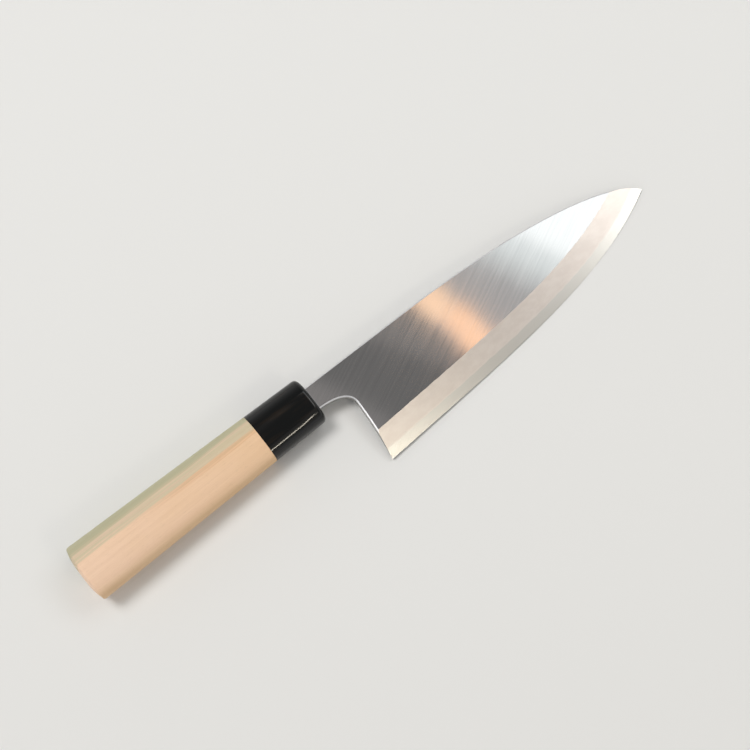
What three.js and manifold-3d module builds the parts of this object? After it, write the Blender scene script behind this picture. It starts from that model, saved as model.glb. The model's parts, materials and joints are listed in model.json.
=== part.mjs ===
// Kitchen knife: a laminated single-bevel blade in a D-section wooden handle with a horn ferrule.
// Millimetres. In the knife's own axes x runs from the ferrule's front to the tip, y towards the spine
// and z out of the bevelled face. The finished knife lies at rest on z = 0.
import * as THREE from "three";
import { mergeVertices } from "three/addons/utils/BufferGeometryUtils.js";
import Module from "manifold-3d";

const wasm = await Module();
wasm.setup();

// Blade outline
const BLADE_LENGTH = 179.5; // heel to tip, along x
const HEEL_HEIGHT = 50.1; // spine to heel
const HEEL_AHEAD = 12.4; // heel in front of the ferrule
const SPINE_ABOVE_AXIS = 5.75;
const SPINE_STRAIGHT = 60; // straight stretch of the spine in front of the ferrule
const SPINE_PULL = 57.6; // length of the curve's handle where the spine starts to fall
const TIP_DROP = 23.05; // spine to tip
const TIP_SPINE_ANGLE = 45; // degrees, how steeply the spine falls to the tip
const TIP_SPINE_PULL = 23.3;
const EDGE_HEEL_ANGLE = 3; // degrees, rise of the edge at the heel
const EDGE_HEEL_PULL = 80;
const EDGE_TIP_ANGLE = 27.2; // degrees, rise of the edge at the tip
const EDGE_TIP_PULL = 50;
const NECK_HEIGHT = 11.8;
const NECK_INSET = 6; // depth of the full neck inside the ferrule
const CHOIL_REACH = 15.7; // back wall of the blade in front of the ferrule
const CHOIL_DROP = 8; // height of the curve under the neck
const CHOIL_NECK_PULL = 8;
const CHOIL_WALL_PULL = 5.8;
const HEEL_WALL_LEAN = 0.5; // how far the back wall has leaned back halfway down

// Blade grind
const NECK_THICKNESS = 5;
const TIP_THICKNESS = 2.2; // of the flat side carried on to the tip
const EDGE_LAND = 0.2; // thickness left at the cutting edge
const BEVEL_WIDTH = 14; // edge to the shinogi line
const CORNER_CHAMFER = 0.6; // along the spine and the back wall
const HOLLOW_DEPTH = 0.35; // of the hollow back
const HOLLOW_RIM = 3.5; // flat rim round the hollow back
const HOLLOW_TIP_RIM = 16; // flat left behind the tip
const HOLLOW_END_POWER = 6; // how suddenly the hollow runs out at its ends

// Hard steel layer
const HARD_STRIP = 4.6; // width of the layer where the bevel shows it
const HARD_HEEL_HEIGHT = 26; // height of the layer at the heel
const HARD_TIP_RISE = 5; // the layer's upper line over the tip
const WELD_GAP = 0.1;

// Tang
const TANG_LENGTH = 92; // behind the ferrule's front
const TANG_ROOT_HEIGHT = 9.5;
const TANG_END_HEIGHT = 4.5;
const TANG_ROOT_THICKNESS = 4.2;
const TANG_END_THICKNESS = 2.2;

// Handle
const HANDLE_LENGTH = 128;
const FERRULE_LENGTH = 29.5;
const BUTT_HEIGHT = 28.2;
const BUTT_THICKNESS = 21;
const FRONT_HEIGHT = 24;
const FRONT_THICKNESS = 17.6;
const BUTT_RIDGE = 4.3; // ridge of the D section above the handle's axis
const FRONT_RIDGE = 3.9;
const BUTT_DOME = 1.3;
const DOME_INSET = 7; // from the handle's side to the flat middle of the dome
const BUTT_ROUND = 1.2;
const RIM_ROUND = 2.2; // rounded front rim of the ferrule
const TENON_DIAMETER = 13.6;
const TENON_LENGTH = 18;
const FIT = 0.2; // clearance of the hidden fits
const SEAM = 0.1; // joint between grip and ferrule
const SEAL_DEPTH = 3;
const SEAL_MARGIN = 1.4; // resin round the neck
const SEAL_SINK = 0.3; // resin below the ferrule's front

// Pulls of the D section's curves, as shares of its half height or half thickness
const SPINE_SIDE_PULL = 0.62; // upright at the spine side
const RIDGE_SPINE_PULL = 0.45; // from the ridge towards the spine side
const RIDGE_SPINE_LEVEL = 0.86;
const RIDGE_EDGE_PULL = 0.55; // from the ridge towards the edge side
const RIDGE_EDGE_LEVEL = 0.94;
const EDGE_SIDE_PULL = 0.8; // upright at the edge side
const OVAL_PULL = 0.5523; // makes a quarter of an ellipse

// Fineness of the facets
const CURVE_STEPS = 28;
const SECTION_STEPS = 11; // for each of the four curves of the D section
const TENON_SIDES = 40;
const HOLLOW_STEPS = 12;
const HOLLOW_ACROSS = 8;
const ROUND_STEPS = 4; // of a rim's quarter round
const SAME_CORNER = 1e-5; // corners closer than this are one
const OVERRUN = 6; // how far a cutter passes the face it cuts

// Fineness of the searches
const HALVINGS = 30; // of a curve, for a place along it
const LEVEL_PASSES = 4; // until the table's tilt stays

// Finishes, with densities in g per cubic mm for the balance point
const IRON = { color: 0xa9a7a4, roughness: 0.32, metalness: 1, density: 7.85e-3 };
const STEEL = { color: 0xd4d2cc, roughness: 0.22, metalness: 1, density: 7.85e-3 };
const HORN = { color: 0x12100f, roughness: 0.2, metalness: 0, density: 1.3e-3 };
const WOOD = { color: 0xe0bf95, roughness: 0.6, metalness: 0, density: 0.5e-3 };
const RESIN = { color: 0x2a2018, roughness: 0.5, metalness: 0, density: 1.2e-3 };

// Places that follow from the sizes
const BACK_Z = -NECK_THICKNESS / 2; // flat back of the blade
const NECK_Y = SPINE_ABOVE_AXIS - NECK_HEIGHT;
const NECK_MIDDLE_Y = SPINE_ABOVE_AXIS - NECK_HEIGHT / 2;
const CHOIL_Y = NECK_Y - CHOIL_DROP;
const HEEL = new THREE.Vector2(HEEL_AHEAD, SPINE_ABOVE_AXIS - HEEL_HEIGHT);
const TIP = new THREE.Vector2(HEEL_AHEAD + BLADE_LENGTH, SPINE_ABOVE_AXIS - TIP_DROP);
const GRIP_FRONT_X = -FERRULE_LENGTH;
const TENON_FRONT_X = GRIP_FRONT_X + TENON_LENGTH;

// A point at a distance from another, in a direction given in degrees.
function away(point, degrees, distance) {
  const turn = THREE.MathUtils.degToRad(degrees);
  return new THREE.Vector2(Math.cos(turn), Math.sin(turn)).multiplyScalar(distance).add(point);
}

// A closed three.js geometry as a solid that can be joined and cut.
function solid(geometry) {
  const bare = geometry.index ? geometry.toNonIndexed() : geometry.clone();
  bare.deleteAttribute("normal");
  bare.deleteAttribute("uv");
  const merged = mergeVertices(bare, SAME_CORNER);
  return new wasm.Manifold(
    new wasm.Mesh({
      numProp: 3,
      vertProperties: merged.attributes.position.array,
      triVerts: new Uint32Array(merged.index.array),
    }),
  );
}

// A solid as a named mesh with its own material, which remembers its density.
function piece(name, body, { color, roughness, metalness, density }) {
  const { vertProperties, triVerts } = body.getMesh();
  const geometry = new THREE.BufferGeometry();
  geometry.setAttribute("position", new THREE.BufferAttribute(vertProperties, 3));
  geometry.setIndex(new THREE.BufferAttribute(triVerts, 1));
  geometry.computeVertexNormals();
  const mesh = new THREE.Mesh(geometry, new THREE.MeshStandardMaterial({ color, roughness, metalness }));
  mesh.name = name;
  mesh.userData.density = density;
  return mesh;
}

// A solid through a row of convex rings with equal point counts, each right-handed about the row.
function loft(rings) {
  const count = rings[0].length;
  const corners = rings.flat();
  const index = [];
  for (let ring = 0; ring + 1 < rings.length; ring += 1) {
    for (let j = 0; j < count; j += 1) {
      const a = ring * count + j;
      const b = ring * count + ((j + 1) % count);
      index.push(a, b, b + count, a, b + count, a + count);
    }
  }
  const last = corners.length - count;
  for (let j = 1; j + 1 < count; j += 1) {
    index.push(0, j + 1, j, last, last + j, last + j + 1);
  }
  const geometry = new THREE.BufferGeometry().setFromPoints(corners);
  geometry.setIndex(index);
  return solid(geometry);
}

// A solid swept along joined curves in the blade's plane, running on past both ends.
// section(foot, left) gives the corners at a foot point as offsets to the left of the path and heights.
function sweep(curves, section) {
  const feet = [];
  for (const curve of curves) {
    for (let step = feet.length ? 1 : 0; step <= CURVE_STEPS; step += 1) {
      const t = step / CURVE_STEPS;
      feet.push({ foot: curve.getPoint(t), along: curve.getTangent(t) });
    }
  }
  const beyond = ({ foot, along }, distance) => {
    return { foot: foot.clone().addScaledVector(along, distance), along };
  };
  const path = [beyond(feet[0], -OVERRUN), ...feet, beyond(feet.at(-1), OVERRUN)];
  const rings = path.map(({ foot, along }) => {
    const left = new THREE.Vector2(-along.y, along.x);
    return section(foot, left).map(([offset, z]) => {
      return new THREE.Vector3(foot.x + left.x * offset, foot.y + left.y * offset, z);
    });
  });
  return loft(rings);
}

// A plate of a given outline in the blade's plane.
function plate(shape, bottom, top) {
  const extruded = new THREE.ExtrudeGeometry(shape, {
    depth: top - bottom,
    bevelEnabled: false,
    curveSegments: CURVE_STEPS,
  });
  return solid(extruded.translate(0, 0, bottom));
}

// A block with a rectangular section that may change from back to front.
function taper(backX, back, frontX, front) {
  const ring = (x, { height, thickness }) =>
    [[-1, -1], [1, -1], [1, 1], [-1, 1]].map(([side, face]) => {
      return new THREE.Vector3(x, NECK_MIDDLE_Y + (side * height) / 2, (face * thickness) / 2);
    });
  return loft([ring(backX, back), ring(frontX, front)]);
}

// Everything above a plane that slopes evenly from the ferrule's front to the tip.
function above(frontZ, tipZ) {
  const slope = (tipZ - frontZ) / TIP.x;
  const ceiling = NECK_THICKNESS + OVERRUN;
  const profile = new THREE.Shape([
    new THREE.Vector2(-OVERRUN, frontZ - slope * OVERRUN),
    new THREE.Vector2(TIP.x + OVERRUN, tipZ + slope * OVERRUN),
    new THREE.Vector2(TIP.x + OVERRUN, ceiling),
    new THREE.Vector2(-OVERRUN, ceiling),
  ]);
  const width = 2 * (HEEL_HEIGHT + OVERRUN);
  const wedge = new THREE.ExtrudeGeometry(profile, { depth: width, bevelEnabled: false });
  return solid(wedge.rotateX(Math.PI / 2).translate(0, width / 2, 0));
}

// Thickness of the flat side over the back, at a place along the blade.
function flatThickness(x) {
  return THREE.MathUtils.mapLinear(x, 0, TIP.x, NECK_THICKNESS, TIP_THICKNESS);
}

// Height of a curve that runs along the blade, at a place along it.
function heightAt(curve, x) {
  let low = 0;
  let high = 1;
  for (let halving = 0; halving < HALVINGS; halving += 1) {
    const middle = (low + high) / 2;
    if (curve.getPoint(middle).x < x) low = middle;
    else high = middle;
  }
  return curve.getPoint(low).y;
}

// The curves of the blade's outline
const spineStart = new THREE.Vector2(SPINE_STRAIGHT, SPINE_ABOVE_AXIS);
const spineCurve = new THREE.CubicBezierCurve(
  spineStart,
  away(spineStart, 0, SPINE_PULL),
  away(TIP, 180 - TIP_SPINE_ANGLE, TIP_SPINE_PULL),
  TIP,
);
const edgeCurve = new THREE.CubicBezierCurve(
  HEEL,
  away(HEEL, EDGE_HEEL_ANGLE, EDGE_HEEL_PULL),
  away(TIP, 180 + EDGE_TIP_ANGLE, EDGE_TIP_PULL),
  TIP,
);
const choilCurve = new THREE.CubicBezierCurve(
  new THREE.Vector2(0, NECK_Y),
  new THREE.Vector2(CHOIL_NECK_PULL, NECK_Y),
  new THREE.Vector2(CHOIL_REACH, CHOIL_Y + CHOIL_WALL_PULL),
  new THREE.Vector2(CHOIL_REACH, CHOIL_Y),
);
const wallCurve = new THREE.QuadraticBezierCurve(
  new THREE.Vector2(CHOIL_REACH, CHOIL_Y),
  new THREE.Vector2(CHOIL_REACH - HEEL_WALL_LEAN, (CHOIL_Y + HEEL.y) / 2),
  HEEL,
);
const spineLine = new THREE.LineCurve(new THREE.Vector2(-NECK_INSET, SPINE_ABOVE_AXIS), spineStart);

// Blade blank with neck and tang, as forged
function bladeBlank() {
  const outline = new THREE.Shape([new THREE.Vector2(-NECK_INSET, NECK_Y), choilCurve.v0]);
  outline.bezierCurveTo(
    choilCurve.v1.x, choilCurve.v1.y, choilCurve.v2.x, choilCurve.v2.y, choilCurve.v3.x, choilCurve.v3.y,
  );
  outline.quadraticCurveTo(wallCurve.v1.x, wallCurve.v1.y, HEEL.x, HEEL.y);
  outline.bezierCurveTo(edgeCurve.v1.x, edgeCurve.v1.y, edgeCurve.v2.x, edgeCurve.v2.y, TIP.x, TIP.y);
  outline.bezierCurveTo(
    spineCurve.v2.x, spineCurve.v2.y, spineCurve.v1.x, spineCurve.v1.y, spineStart.x, spineStart.y,
  );
  outline.lineTo(-NECK_INSET, SPINE_ABOVE_AXIS);
  return plate(outline, BACK_Z, BACK_Z + NECK_THICKNESS).add(tang(0));
}

// Tapered tang, grown by a clearance where it stands for its own bore.
function tang(clearance) {
  const end = {
    height: TANG_END_HEIGHT + 2 * clearance,
    thickness: TANG_END_THICKNESS + 2 * clearance,
  };
  const root = {
    height: TANG_ROOT_HEIGHT + 2 * clearance,
    thickness: TANG_ROOT_THICKNESS + 2 * clearance,
  };
  return taper(-TANG_LENGTH - clearance, end, -NECK_INSET / 2, root);
}

// Cutter of the wide bevel: its plane rises from the edge and meets the flat side at the shinogi line.
function bevelCutter() {
  return sweep([edgeCurve], (foot, left) => {
    const shinogiX = foot.x + left.x * BEVEL_WIDTH;
    const slope = (flatThickness(shinogiX) - EDGE_LAND) / BEVEL_WIDTH;
    const land = BACK_Z + EDGE_LAND;
    const inside = BEVEL_WIDTH + OVERRUN;
    const ceiling = Math.max(NECK_THICKNESS, land + slope * inside) + OVERRUN;
    return [
      [-OVERRUN, land - slope * OVERRUN],
      [inside, land + slope * inside],
      [inside, ceiling],
      [-OVERRUN, ceiling],
    ];
  });
}

// Cutter of a chamfer on the bevelled face. side is 1 where the blade lies left of the path, else -1.
function chamferCutter(curves, side) {
  const c = CORNER_CHAMFER;
  return sweep(curves, (foot) => {
    const top = BACK_Z + flatThickness(foot.x);
    const corners = [
      [-side * c, top + c],
      [-side * c, top - 2 * c],
      [side * 2 * c, top + c],
    ];
    return side > 0 ? corners : corners.reverse();
  });
}

// Cutter of the shallow hollow in the back, which leaves a flat rim all round.
function hollowCutter() {
  const backX = CHOIL_REACH + HOLLOW_RIM;
  const frontX = TIP.x - HOLLOW_TIP_RIM;
  const spineY = (x) => (x < SPINE_STRAIGHT ? SPINE_ABOVE_AXIS : heightAt(spineCurve, x));
  const rings = [];
  for (let step = 0; step <= HOLLOW_STEPS; step += 1) {
    const share = step / HOLLOW_STEPS;
    const x = THREE.MathUtils.lerp(backX, frontX, share);
    const lowY = heightAt(edgeCurve, x) + HOLLOW_RIM;
    const highY = Math.max(spineY(x) - HOLLOW_RIM, lowY + HOLLOW_RIM);
    const depth = HOLLOW_DEPTH * (1 - (2 * share - 1) ** HOLLOW_END_POWER);
    const ring = [
      new THREE.Vector3(x, lowY, BACK_Z - OVERRUN),
      new THREE.Vector3(x, highY, BACK_Z - OVERRUN),
    ];
    for (let k = 0; k <= HOLLOW_ACROSS; k += 1) {
      const v = 1 - (2 * k) / HOLLOW_ACROSS;
      const y = THREE.MathUtils.mapLinear(v, -1, 1, lowY, highY);
      ring.push(new THREE.Vector3(x, y, BACK_Z + depth * (1 - v * v)));
    }
    rings.push(ring);
  }
  return loft(rings);
}

// Space of the hard layer: under a sloping plane and below a straight line, both grown by a gap.
function hardLayer(gap) {
  const share = HARD_STRIP / BEVEL_WIDTH;
  const topAt = (thickness) => BACK_Z + EDGE_LAND + (thickness - EDGE_LAND) * share + gap;
  const backX = HEEL.x - OVERRUN;
  const frontX = TIP.x + OVERRUN;
  const bottomY = HEEL.y - OVERRUN;
  const region = new THREE.Shape([
    new THREE.Vector2(backX, bottomY),
    new THREE.Vector2(frontX, bottomY),
    new THREE.Vector2(frontX, TIP.y + HARD_TIP_RISE + gap),
    new THREE.Vector2(backX, HEEL.y + HARD_HEEL_HEIGHT + gap),
  ]);
  const block = plate(region, BACK_Z - OVERRUN, BACK_Z + NECK_THICKNESS);
  return block.subtract(above(topAt(NECK_THICKNESS), topAt(TIP_THICKNESS)));
}

// D section of the handle: a ridge on the bevelled face's side, an oval on the other.
function dSection(height, thickness, ridge) {
  const h = height / 2;
  const t = thickness / 2;
  const shoulder = THREE.MathUtils.lerp(ridge, h, RIDGE_SPINE_PULL);
  const section = new THREE.Shape();
  section.moveTo(h, 0);
  section.bezierCurveTo(h, t * SPINE_SIDE_PULL, shoulder, t * RIDGE_SPINE_LEVEL, ridge, t);
  section.bezierCurveTo(-h * RIDGE_EDGE_PULL, t * RIDGE_EDGE_LEVEL, -h, t * EDGE_SIDE_PULL, -h, 0);
  section.bezierCurveTo(-h, -t * OVAL_PULL, -h * OVAL_PULL, -t, 0, -t);
  section.bezierCurveTo(h * OVAL_PULL, -t, h, -t * OVAL_PULL, h, 0);
  return section.getPoints(SECTION_STEPS).slice(0, -1);
}

// A ring of the handle at a place along it, drawn in from the full section by an inset.
function handleRing(x, inset) {
  const between = (butt, front) => THREE.MathUtils.mapLinear(x, -HANDLE_LENGTH, 0, butt, front);
  const height = between(BUTT_HEIGHT, FRONT_HEIGHT);
  const thickness = between(BUTT_THICKNESS, FRONT_THICKNESS);
  return dSection(height, thickness, between(BUTT_RIDGE, FRONT_RIDGE)).map((corner) => {
    const y = corner.x * (1 - (2 * inset) / height);
    const z = corner.y * (1 - (2 * inset) / thickness);
    return new THREE.Vector3(x, y, z);
  });
}

// A quarter round of a rim: how far back and how far in, in a few steps from the side to the end.
function quarterRound(radius) {
  return Array.from({ length: ROUND_STEPS + 1 }, (_, step) => {
    const turn = ((Math.PI / 2) * step) / ROUND_STEPS;
    return { back: radius * (1 - Math.sin(turn)), inset: radius * (1 - Math.cos(turn)) };
  });
}

// A round bar on the handle's axis.
function roundBar(diameter, backX, frontX) {
  const bar = new THREE.CylinderGeometry(diameter / 2, diameter / 2, frontX - backX, TENON_SIDES);
  return solid(bar.rotateZ(-Math.PI / 2).translate((backX + frontX) / 2, 0, 0));
}

// A block round the neck, larger than it by a margin on every side.
function neckBlock(margin, backX, frontX) {
  const size = { height: NECK_HEIGHT + 2 * margin, thickness: NECK_THICKNESS + 2 * margin };
  return taper(backX, size, frontX, size);
}

// Wooden grip with its tenon and tang bore
function grip() {
  const butt = quarterRound(BUTT_ROUND).map(({ back, inset }) => {
    return handleRing(BUTT_DOME - HANDLE_LENGTH + back, inset);
  });
  const dome = handleRing(-HANDLE_LENGTH, DOME_INSET);
  const outside = loft([dome, ...butt.reverse(), handleRing(GRIP_FRONT_X - SEAM, 0)]);
  const tenon = roundBar(TENON_DIAMETER, GRIP_FRONT_X - TENON_LENGTH, TENON_FRONT_X);
  return outside.add(tenon).subtract(tang(FIT));
}

// Horn ferrule with the tenon's socket, the neck's slot and the mouth for the resin
function ferrule() {
  const rim = quarterRound(RIM_ROUND).map(({ back, inset }) => handleRing(-back, inset));
  const outside = loft([handleRing(GRIP_FRONT_X, 0), ...rim]);
  const socket = roundBar(TENON_DIAMETER + 2 * FIT, GRIP_FRONT_X - OVERRUN, TENON_FRONT_X + FIT);
  const slot = neckBlock(FIT, -NECK_INSET - FIT, OVERRUN);
  const mouth = neckBlock(SEAL_MARGIN, -SEAL_DEPTH, OVERRUN);
  return outside.subtract(socket).subtract(slot).subtract(mouth).subtract(tang(FIT));
}

// Resin round the neck in the ferrule's mouth
function seal() {
  const plug = neckBlock(SEAL_MARGIN - FIT, FIT - SEAL_DEPTH, -SEAL_SINK);
  return plug.subtract(neckBlock(FIT, -SEAL_DEPTH, OVERRUN));
}

const blade = bladeBlank()
  .subtract(above(BACK_Z + NECK_THICKNESS, BACK_Z + TIP_THICKNESS))
  .subtract(bevelCutter())
  .subtract(chamferCutter([spineLine, spineCurve], -1))
  .subtract(chamferCutter([choilCurve, wallCurve], 1))
  .subtract(hollowCutter());

const ferrulePiece = piece("horn_ferrule", ferrule(), HORN);
const pieces = [
  piece("jigane_body", blade.subtract(hardLayer(WELD_GAP)), IRON),
  piece("hagane_edge", blade.intersect(hardLayer(0)), STEEL),
  ferrulePiece,
  piece("handle_grip", grip(), WOOD),
  piece("tang_seal", seal(), RESIN),
];

// Centre of mass of the whole knife, from the signed tetrahedra under each triangle.
function balancePoint() {
  const sum = new THREE.Vector3();
  let mass = 0;
  const corners = [new THREE.Vector3(), new THREE.Vector3(), new THREE.Vector3()];
  for (const { geometry, userData } of pieces) {
    const { index, attributes } = geometry;
    for (let i = 0; i < index.count; i += 3) {
      corners.forEach((corner, k) => corner.fromBufferAttribute(attributes.position, index.getX(i + k)));
      const [a, b, c] = corners;
      const weight = (userData.density * a.dot(b.clone().cross(c))) / 6;
      sum.addScaledVector(a.clone().add(b).add(c), weight / 4);
      mass += weight;
    }
  }
  return sum.divideScalar(mass);
}

// The corner of a mesh that lies lowest against an upward direction.
function lowest(mesh, up) {
  const { position } = mesh.geometry.attributes;
  const best = new THREE.Vector3(0, 0, Infinity);
  const corner = new THREE.Vector3();
  for (let i = 0; i < position.count; i += 1) {
    corner.fromBufferAttribute(position, i);
    if (best.z === Infinity || corner.dot(up) < best.dot(up)) best.copy(corner);
  }
  return best;
}

// Upward direction of the table when the knife lies on the ferrule's rim and on one facet of its edge.
// The facet's ends lie on either side of the line that runs from the rim under the balance point.
function tableNormal() {
  const balance = balancePoint();
  const feet = edgeCurve.getPoints(CURVE_STEPS).map(({ x, y }) => new THREE.Vector3(x, y, BACK_Z));
  const up = new THREE.Vector3(0, 0, 1);
  for (let pass = 0; pass < LEVEL_PASSES; pass += 1) {
    const rim = lowest(ferrulePiece, up);
    const ahead = balance.clone().sub(rim);
    const reaches = feet.map((foot) => foot.clone().sub(rim));
    const far = reaches.findIndex((reach) => reach.clone().cross(ahead).dot(up) < 0);
    up.crossVectors(reaches[far - 1], reaches[far]).normalize();
  }
  return up;
}

// The knife lies on the table with x along its length, its box centred over the origin.
const knife = new THREE.Group();
knife.add(...pieces);
const up = tableNormal();
const along = new THREE.Vector3(1, 0, 0).addScaledVector(up, -up.x).normalize();
const across = new THREE.Vector3().crossVectors(up, along);
knife.quaternion.setFromRotationMatrix(new THREE.Matrix4().makeBasis(along, across, up).transpose());
knife.updateMatrixWorld(true);
const box = new THREE.Box3().setFromObject(knife, true);
const centre = box.getCenter(new THREE.Vector3());
knife.position.set(-centre.x, -centre.y, -box.min.z);

const part = new THREE.Group();
part.add(knife);

export default part;
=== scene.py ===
"""Kitchen knife: a laminated single-bevel blade, a black horn ferrule and a D-section wooden grip.

The knife's own axes are used for every shape: x from the ferrule's front to the tip, y towards the spine and
z out of the bevelled face. Sizes are millimetres there, and the placement turns them into the frame's metres.
Lamps, floor and camera are placed in the frame's metres.
"""

import json
import logging
import math
from abc import ABC, abstractmethod
from dataclasses import dataclass, field
from enum import Enum
from typing import Any, Iterable, Optional, Sequence, Union

import bmesh
import bpy
from mathutils import Matrix, Vector
from mathutils.geometry import interpolate_bezier


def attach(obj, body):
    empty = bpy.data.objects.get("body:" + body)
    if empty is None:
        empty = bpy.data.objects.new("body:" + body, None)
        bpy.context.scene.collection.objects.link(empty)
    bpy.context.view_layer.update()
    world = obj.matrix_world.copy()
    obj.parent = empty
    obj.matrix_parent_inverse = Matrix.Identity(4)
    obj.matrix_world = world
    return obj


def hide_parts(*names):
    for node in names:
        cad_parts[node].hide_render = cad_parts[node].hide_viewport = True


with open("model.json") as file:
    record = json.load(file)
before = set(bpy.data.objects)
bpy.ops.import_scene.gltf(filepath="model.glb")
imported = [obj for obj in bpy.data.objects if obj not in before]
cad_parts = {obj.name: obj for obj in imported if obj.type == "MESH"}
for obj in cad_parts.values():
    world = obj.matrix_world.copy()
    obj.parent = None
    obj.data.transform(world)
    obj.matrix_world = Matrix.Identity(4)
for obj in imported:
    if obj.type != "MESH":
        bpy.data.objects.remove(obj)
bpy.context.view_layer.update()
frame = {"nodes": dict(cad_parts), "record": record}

MM = 0.001
FAR = 1e9  # a size so large that a pattern doesn't change that way
BODY = "root"
RIM_MOUNT = "back_rim"
RIM_MOUNT_POINT = Vector((110.0, 2.3, -2.5))  # where the rim's mount lies in the knife's axes

Number = Union["Value", float]
Color = tuple[float, float, float]
Place = tuple[float, float, float]
Span = tuple[float, float]  # where a smooth step starts and ends
Stop = tuple[float, float, float]  # a loop's place along the handle, its height and its thickness
Edges = list[bmesh.types.BMEdge]
Settings = dict[str, Any]
Sockets = dict[Union[str, int], Any]

CONTRAST: Span = (0.3, 0.7)  # the middle of a noise, which is drawn out to run from 0 to 1

log = logging.getLogger("knife")


class Placement:
    """The knife's own axes, taken from the mount on the rim of its back."""

    def __init__(self, record: dict[str, Any]) -> None:
        """Works out the axes and the origin.

        Args:
            record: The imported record, which holds the mounts.
        """
        mount = next(m for m in record["mounts"] if m["name"] == RIM_MOUNT)
        self.out = -Vector(mount["axis"]).normalized()
        self.along = Vector((0.0, 1.0, 0.0)).cross(self.out).normalized()
        self.across = self.out.cross(self.along)
        turn = Matrix((self.along, self.across, self.out)).transposed()
        self.origin = Vector(mount["pos_m"]) - turn @ RIM_MOUNT_POINT * MM
        self.matrix = Matrix.Translation(self.origin) @ turn.to_4x4() @ Matrix.Scale(MM, 4)
        self.inverse = self.matrix.inverted()

    def turn_back(self, direction: Vector) -> Vector:
        """A direction of the frame in the knife's axes."""
        return Vector((direction.dot(self.along), direction.dot(self.across), direction.dot(self.out)))


class Value:
    """A number that runs through shader nodes. Arithmetic on it adds Math nodes."""

    def __init__(self, tree: "ShaderTree", socket: bpy.types.NodeSocket) -> None:
        """Wraps an output socket of a tree."""
        self.tree = tree
        self.socket = socket

    def _math(self, operation: str, *numbers: Number) -> "Value":
        """A Math node of one operation on the given numbers."""
        return self.tree.value("ShaderNodeMath", {"operation": operation}, dict(enumerate(numbers)))

    def __add__(self, other: Number) -> "Value":
        """Sum."""
        return self._math("ADD", self, other)

    def __radd__(self, other: Number) -> "Value":
        """Sum with the value on the right."""
        return self._math("ADD", other, self)

    def __sub__(self, other: Number) -> "Value":
        """Difference."""
        return self._math("SUBTRACT", self, other)

    def __rsub__(self, other: Number) -> "Value":
        """Difference with the value on the right."""
        return self._math("SUBTRACT", other, self)

    def __mul__(self, other: Number) -> "Value":
        """Product."""
        return self._math("MULTIPLY", self, other)

    def __rmul__(self, other: Number) -> "Value":
        """Product with the value on the right."""
        return self._math("MULTIPLY", other, self)

    def __truediv__(self, other: Number) -> "Value":
        """Quotient."""
        return self._math("DIVIDE", self, other)

    def __rtruediv__(self, other: Number) -> "Value":
        """Quotient with the value on the right."""
        return self._math("DIVIDE", other, self)

    def length_with(self, other: "Value") -> "Value":
        """Length of the pair of this value and another."""
        return self._math("SQRT", self * self + other * other)

    def wave(self) -> "Value":
        """Sine of the value, from -1 to 1."""
        return self._math("SINE", self)

    def between(self, low: float, high: float) -> "Value":
        """Smooth step from 0 at low to 1 at high; low may be the larger one."""
        sockets = {"Value": self, "From Min": low, "From Max": high}
        return self.tree.value("ShaderNodeMapRange", {"interpolation_type": "SMOOTHSTEP"}, sockets)


@dataclass(frozen=True)
class Pattern:
    """Noise whose lumps have a size along, across and out of the knife."""

    along: float
    across: float
    out: float
    detail: float = 2.0
    roughness: float = 0.5


class ShaderTree:
    """A tree of shader nodes, all of which come from one method."""

    def __init__(self, tree: bpy.types.NodeTree) -> None:
        """Takes a tree and empties it."""
        self.tree = tree
        self.tree.nodes.clear()

    def plug(self, socket: bpy.types.NodeSocket, given: Any) -> None:
        """Feeds an input socket.

        Args:
            socket: The socket.
            given: A value, an output socket, or a plain number, vector or colour.
        """
        if isinstance(given, Value):
            given = given.socket
        if isinstance(given, bpy.types.NodeSocket):
            self.tree.links.new(given, socket)
        elif socket.type == "RGBA":
            socket.default_value = (*given, 1.0)
        else:
            socket.default_value = given

    def node(self, kind: str, settings: Settings, sockets: Sockets) -> bpy.types.Node:
        """Adds a node.

        Args:
            kind: The node's type.
            settings: Attributes that are set first.
            sockets: What goes into each input.

        Returns:
            The new node.
        """
        made = self.tree.nodes.new(kind)
        for name, setting in settings.items():
            setattr(made, name, setting)
        for key, given in sockets.items():
            self.plug(made.inputs[key], given)
        return made

    def value(self, kind: str, settings: Settings, sockets: Sockets, output: Union[str, int] = 0) -> Value:
        """Adds a node and wraps one of its outputs as a value."""
        return Value(self, self.node(kind, settings, sockets).outputs[output])

    def vector(self, x: Number, y: Number, z: Number) -> bpy.types.NodeSocket:
        """Three numbers as a vector."""
        return self.node("ShaderNodeCombineXYZ", {}, {0: x, 1: y, 2: z}).outputs[0]

    def noise(self, place: bpy.types.NodeSocket, detail: float, roughness: float) -> Value:
        """Noise of scale 1 at a place, about 0.5 in the middle."""
        sockets = {"Vector": place, "Scale": 1.0, "Detail": detail, "Roughness": roughness}
        return self.value("ShaderNodeTexNoise", {}, sockets)

    def mix(self, share: Number, first: Any, second: Any) -> bpy.types.NodeSocket:
        """A colour between two colours."""
        return self.node("ShaderNodeMix", {"data_type": "RGBA"}, {0: share, 6: first, 7: second}).outputs[2]

    def shade(self, color: bpy.types.NodeSocket, share: Color) -> bpy.types.NodeSocket:
        """A colour times a share of each of its parts."""
        return self.node("ShaderNodeVectorMath", {"operation": "MULTIPLY"}, {0: color, 1: share}).outputs[0]


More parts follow.
